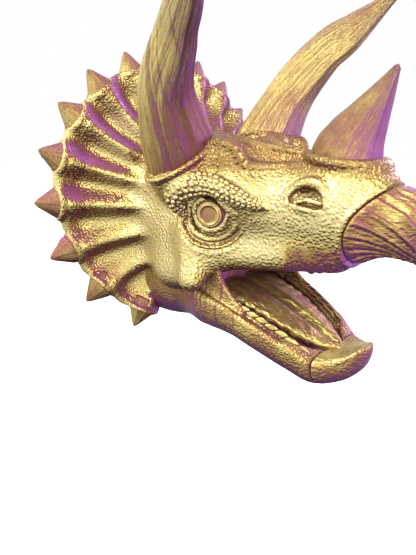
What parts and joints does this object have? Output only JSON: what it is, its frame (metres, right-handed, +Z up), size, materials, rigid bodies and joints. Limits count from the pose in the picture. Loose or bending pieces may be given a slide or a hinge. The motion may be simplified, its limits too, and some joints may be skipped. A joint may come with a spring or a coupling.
{
  "type": "wall-mounted printed triceratops head",
  "caption": "Printed display head of a horned dinosaur with a round spiked frill, long brow horns, nose horn, beak and open mouth with tongue.",
  "frame": {"origin": "centre of the neck's flat back, where the head meets the wall", "axes": "+X forward from the wall towards the beak, +Y towards the animal's left, +Z up"},
  "size_m": [0.2215, 0.1912, 0.1992],
  "materials": {
    "skin": "two-colour silk plastic, gold turning purple, satin sheen over fine scales",
    "horn": "two-colour silk plastic with fine lengthwise grooves and flat layer bands",
    "beak": "two-colour silk plastic, grooved, gold turning purple",
    "mouth": "two-colour silk plastic, smooth",
    "eye": "two-colour silk plastic with fine concentric layer rings"
  },
  "bodies": {
    "root": {"frill": "skin", "neck": "skin", "head": "skin", "throat": "skin", "upper_beak": "beak", "lower_jaw": "skin", "lower_beak": "beak", "tongue": "mouth", "nose_horn": "horn", "brow_horn_left": "horn", "brow_horn_right": "horn", "eye_left": "eye", "eye_right": "eye"}
  },
  "joints": []
}
